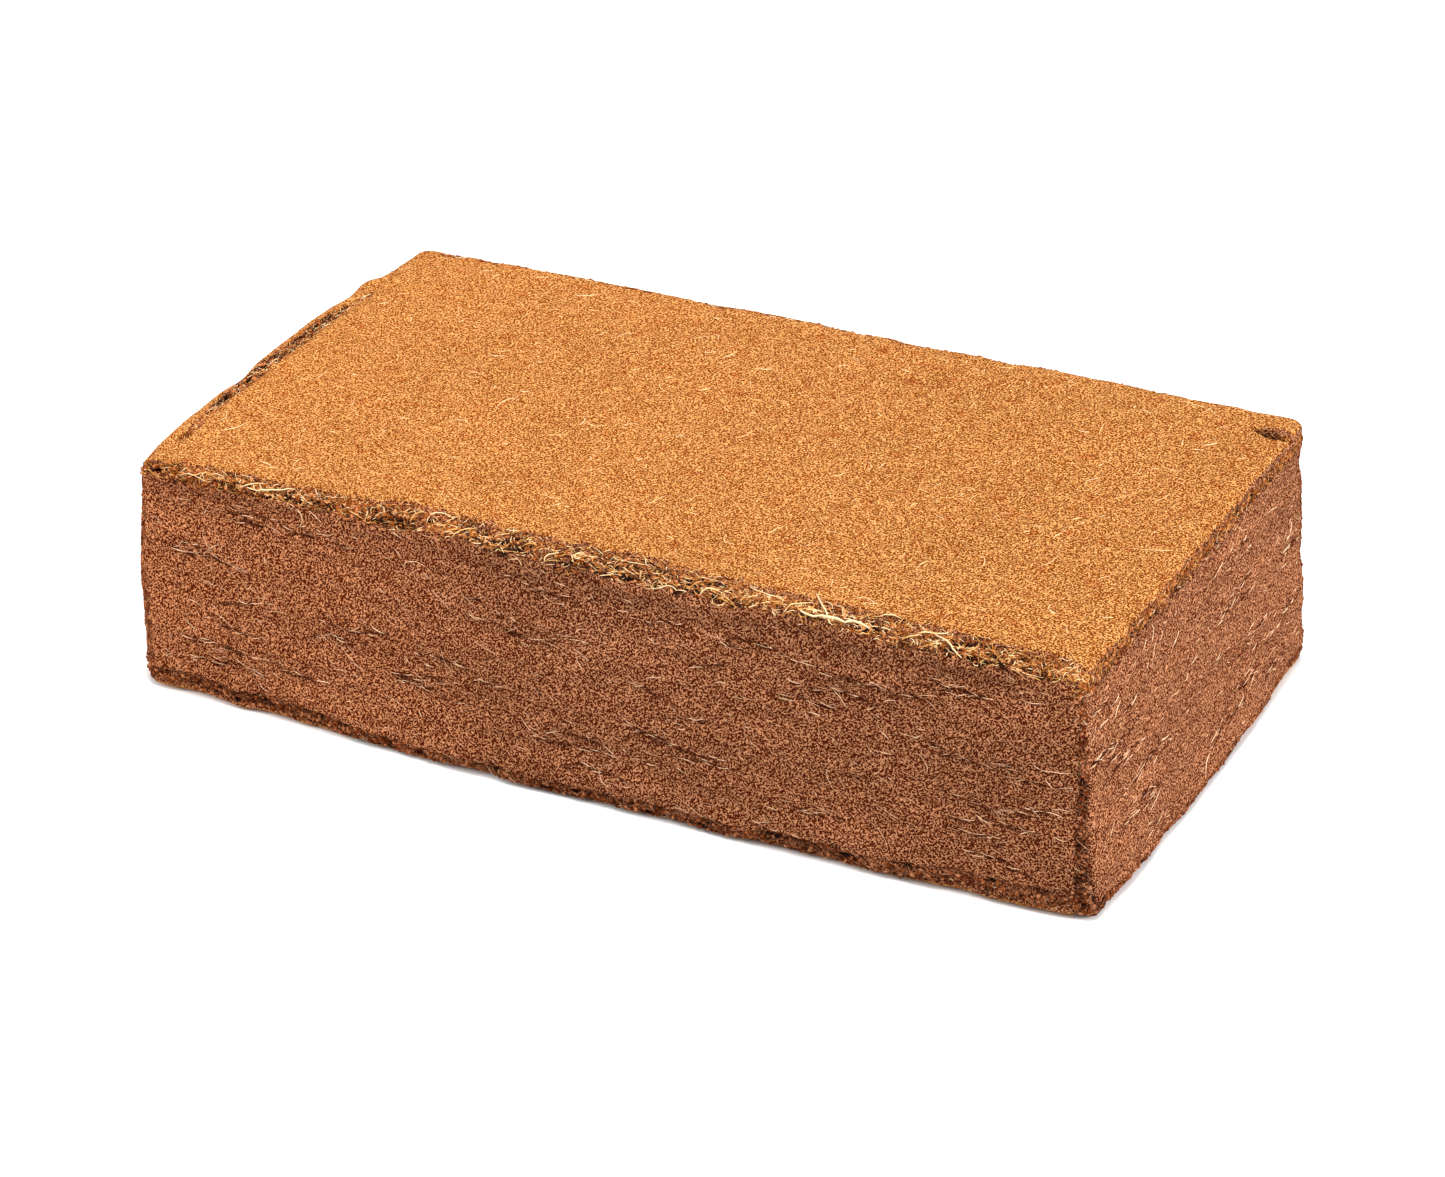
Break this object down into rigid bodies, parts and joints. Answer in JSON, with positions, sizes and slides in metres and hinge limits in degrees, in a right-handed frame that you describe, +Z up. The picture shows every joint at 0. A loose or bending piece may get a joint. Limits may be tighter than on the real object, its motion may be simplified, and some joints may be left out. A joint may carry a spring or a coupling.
{
  "type": "coconut coir brick",
  "caption": "Dry block of pressed coconut coir for soaking into potting medium: a rectangular brick with crumbled edges and torn fibre along one top edge.",
  "frame": {"origin": "on the surface that the block rests on, under the middle of its box", "axes": "+X along the length, towards the end face that the picture shows; +Y from the long side that the picture shows to the one behind; +Z up through the thickness"},
  "size_m": [0.207, 0.11, 0.0521],
  "materials": {
    "pressed_coir": "dry, matt and granular, orange tan on top and red brown on the sides, with straw-coloured fibres"
  },
  "bodies": {
    "root": {"coir_brick": "pressed_coir"}
  },
  "joints": []
}
